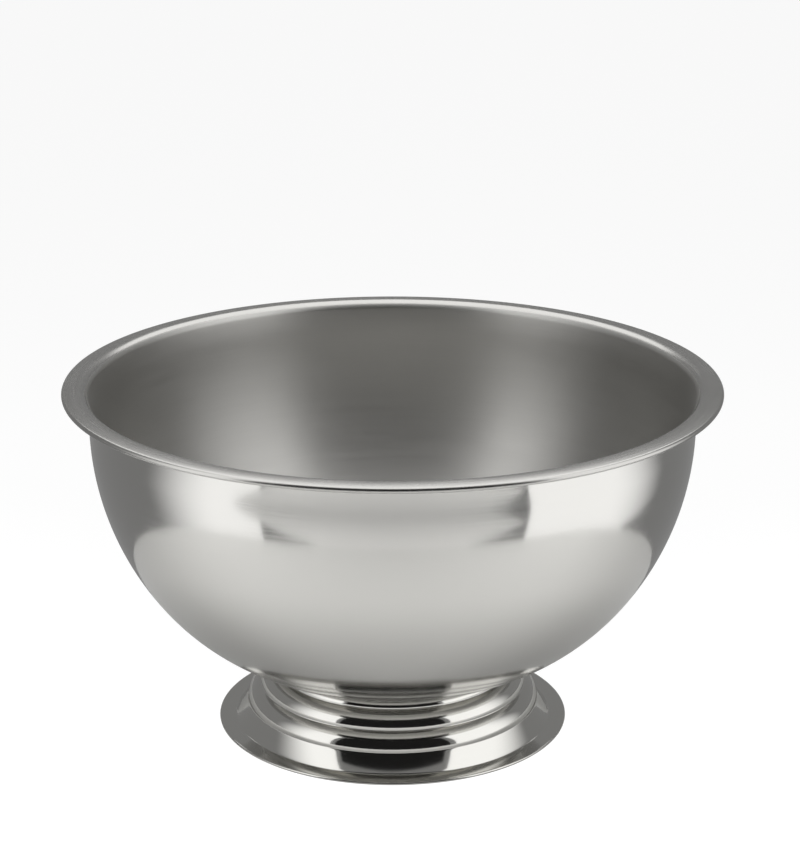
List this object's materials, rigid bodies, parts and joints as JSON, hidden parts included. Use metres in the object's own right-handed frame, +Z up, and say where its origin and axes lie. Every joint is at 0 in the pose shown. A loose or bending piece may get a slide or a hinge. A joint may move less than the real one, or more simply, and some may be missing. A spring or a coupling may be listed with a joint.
{
  "type": "champagne bucket",
  "caption": "Wide round footed steel bowl with a flat flanged rim on a stepped pedestal foot, for icing bottles.",
  "frame": {"origin": "centre of the foot, on the plane that the bucket stands on", "axes": "+Z up along the bucket's axis of revolution; X and Y are any two directions across it"},
  "size_m": [0.4299, 0.43, 0.2349],
  "materials": {
    "bowl_steel": "polished outside with a slight satin, concentric brushing inside and on the flange",
    "foot_steel": "mirror polished outside, spun inside",
    "stud_steel": "plain stainless, threaded",
    "saddle_steel": "mill-finished pressing",
    "washer_steel": "zinc plated",
    "spring_steel": "zinc plated spring steel",
    "nut_steel": "zinc plated"
  },
  "bodies": {
    "root": {"bowl": "bowl_steel", "foot": "foot_steel", "weld_stud": "stud_steel", "saddle_disc": "saddle_steel", "flat_washer": "washer_steel", "spring_washer": "spring_steel", "hex_nut": "nut_steel"}
  },
  "joints": []
}
